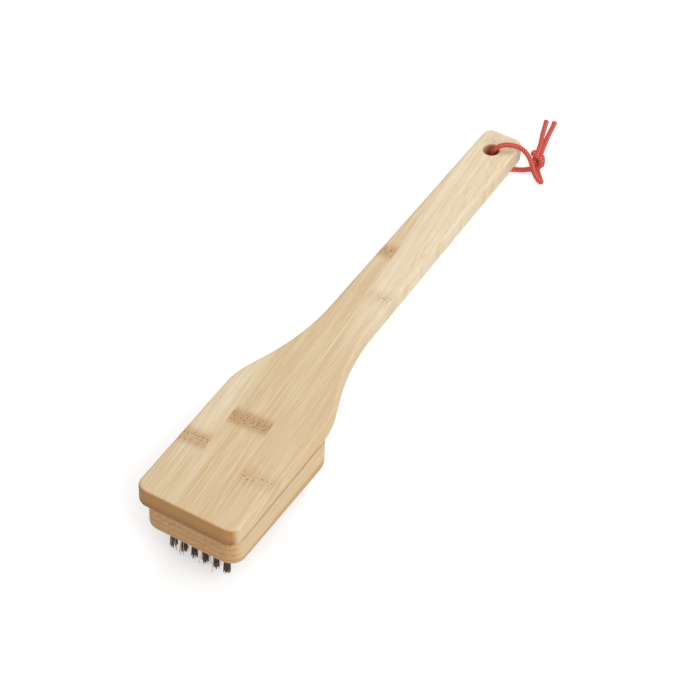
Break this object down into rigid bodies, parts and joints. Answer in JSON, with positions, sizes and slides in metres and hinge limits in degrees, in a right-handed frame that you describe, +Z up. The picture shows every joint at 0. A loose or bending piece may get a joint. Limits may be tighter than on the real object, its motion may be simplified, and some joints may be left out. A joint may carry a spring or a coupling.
{
  "type": "grill brush",
  "caption": "Long-handled grill brush: flat bamboo paddle, a bamboo block under its head set with steel-wire tufts, and a knotted hanging cord through the handle end.",
  "frame": {"origin": "middle of the brush's length and width, on the plane of the bristle tips", "axes": "+X from the front of the head to the handle end, +Y to the left of the handle as the picture shows it, +Z up from the tips to the paddle's top"},
  "size_m": [0.5017, 0.0829, 0.0693],
  "materials": {
    "bamboo_paddle": "satin, strips of pale bamboo with fine grain lines",
    "bamboo_block": "satin, slightly darker bamboo",
    "steel_wire": "dark wire",
    "red_cord": "braided, matt"
  },
  "bodies": {
    "brush": {"paddle": "bamboo_paddle", "brush_block": "bamboo_block", "tuft_1_1": "steel_wire", "tuft_1_2": "steel_wire", "tuft_1_3": "steel_wire", "tuft_1_4": "steel_wire", "tuft_1_5": "steel_wire", "tuft_1_6": "steel_wire", "tuft_2_1": "steel_wire", "tuft_2_2": "steel_wire", "tuft_2_3": "steel_wire", "tuft_2_4": "steel_wire", "tuft_2_5": "steel_wire", "tuft_3_1": "steel_wire", "tuft_3_2": "steel_wire", "tuft_3_3": "steel_wire", "tuft_3_4": "steel_wire", "tuft_3_5": "steel_wire", "tuft_3_6": "steel_wire", "tuft_4_1": "steel_wire", "tuft_4_2": "steel_wire", "tuft_4_3": "steel_wire", "tuft_4_4": "steel_wire", "tuft_4_5": "steel_wire", "tuft_5_1": "steel_wire", "tuft_5_2": "steel_wire", "tuft_5_3": "steel_wire", "tuft_5_4": "steel_wire", "tuft_5_5": "steel_wire", "tuft_5_6": "steel_wire", "tuft_6_1": "steel_wire", "tuft_6_2": "steel_wire", "tuft_6_3": "steel_wire", "tuft_6_4": "steel_wire", "tuft_6_5": "steel_wire", "tuft_7_1": "steel_wire", "tuft_7_2": "steel_wire", "tuft_7_3": "steel_wire", "tuft_7_4": "steel_wire", "tuft_7_5": "steel_wire", "tuft_7_6": "steel_wire", "tuft_8_1": "steel_wire", "tuft_8_2": "steel_wire", "tuft_8_3": "steel_wire", "tuft_8_4": "steel_wire", "tuft_8_5": "steel_wire", "tuft_9_1": "steel_wire", "tuft_9_2": "steel_wire", "tuft_9_3": "steel_wire", "tuft_9_4": "steel_wire", "tuft_9_5": "steel_wire", "tuft_9_6": "steel_wire"},
    "cord_loop": {"hang_cord": "red_cord"}
  },
  "joints": [
    {"name": "loop_swing", "type": "hinge", "parent": "brush", "child": "cord_loop", "pos_m": [0.2075, 0.0014, 0.053], "axis": [0, 0, 1], "range_deg": [-20, 150]}
  ]
}
